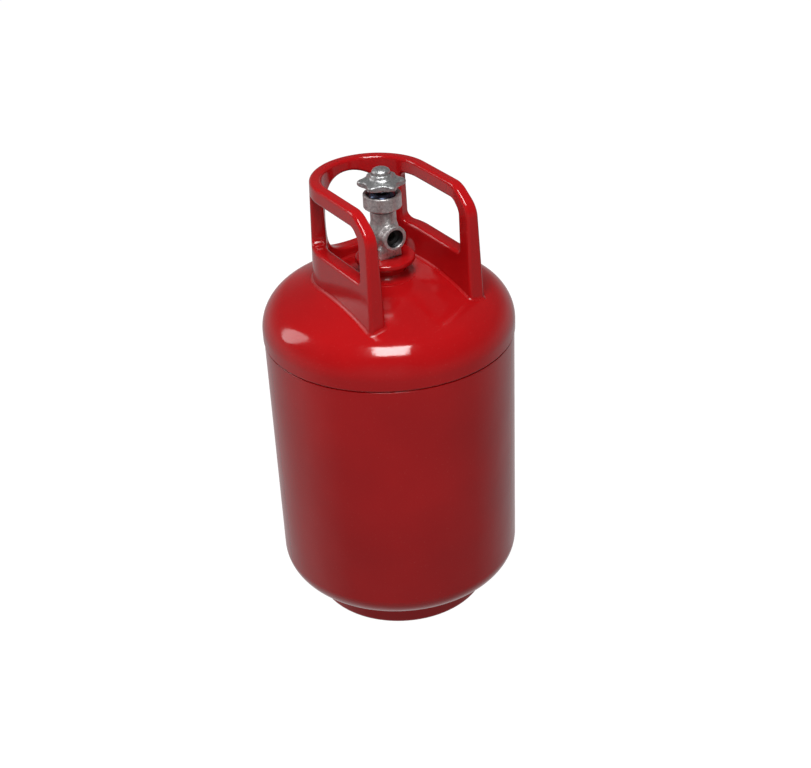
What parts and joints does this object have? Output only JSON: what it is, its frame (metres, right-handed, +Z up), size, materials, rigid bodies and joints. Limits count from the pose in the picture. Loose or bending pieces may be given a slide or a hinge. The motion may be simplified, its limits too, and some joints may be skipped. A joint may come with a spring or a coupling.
{
  "type": "propane tank",
  "caption": "Upright welded gas cylinder with a dished head, U-shaped carrying guard with hand windows, foot ring and handwheel valve.",
  "frame": {"origin": "centre of the foot ring's underside, on the surface that the tank stands on", "axes": "+Z up the tank's axis; the valve outlet and the guard's open side face -Y; +X to the right seen from the front"},
  "size_m": [0.302, 0.302, 0.571],
  "materials": {
    "red_paint": "high gloss red enamel over steel",
    "painted_weld": "gloss red enamel over a weld bead",
    "cast_metal": "rough cast, nickel plated, silver grey",
    "bright_steel": "turned, bright",
    "brass": "machined",
    "black_rubber": "matt",
    "gland_black": "glossy blue-black"
  },
  "bodies": {
    "cylinder": {"lower_shell": "red_paint", "upper_head": "red_paint", "girth_weld": "painted_weld", "valve_boss": "red_paint", "boss_weld": "painted_weld", "guard": "red_paint", "foot_ring": "red_paint", "foot_ring_weld": "painted_weld", "valve_body": "cast_metal", "outlet_gasket": "black_rubber", "bonnet": "cast_metal", "bonnet_gasket": "black_rubber", "gland_nut": "gland_black", "thrust_washer": "bright_steel", "spindle_o_ring": "black_rubber", "relief_cap": "brass", "relief_spring": "bright_steel"},
    "handwheel": {"handwheel": "cast_metal", "spindle": "bright_steel", "wheel_washer": "bright_steel", "wheel_nut": "bright_steel"},
    "plug": {"valve_plug": "brass", "seat_disc": "black_rubber"},
    "relief": {"relief_poppet": "brass", "relief_seal": "black_rubber"}
  },
  "joints": [
    {"name": "handwheel_turn", "type": "hinge", "parent": "cylinder", "child": "handwheel", "pos_m": [0, 0, 0.5], "axis": [0, 0, 1], "range_deg": [0, 630]},
    {"name": "plug_lift", "type": "slide", "parent": "cylinder", "child": "plug", "axis": [0, 0, 1], "range_m": [0, 0.0035]},
    {"name": "relief_lift", "type": "slide", "parent": "cylinder", "child": "relief", "axis": [0, 1, 0], "range_m": [0, 0.002], "stiffness_N_per_m": 200, "springref_m": -0.002, "deforming": ["relief_spring"]}
  ],
  "couplings": [
    {"joint": "plug_lift", "follows": "handwheel_turn", "m_per_rad": 0.000318}
  ]
}
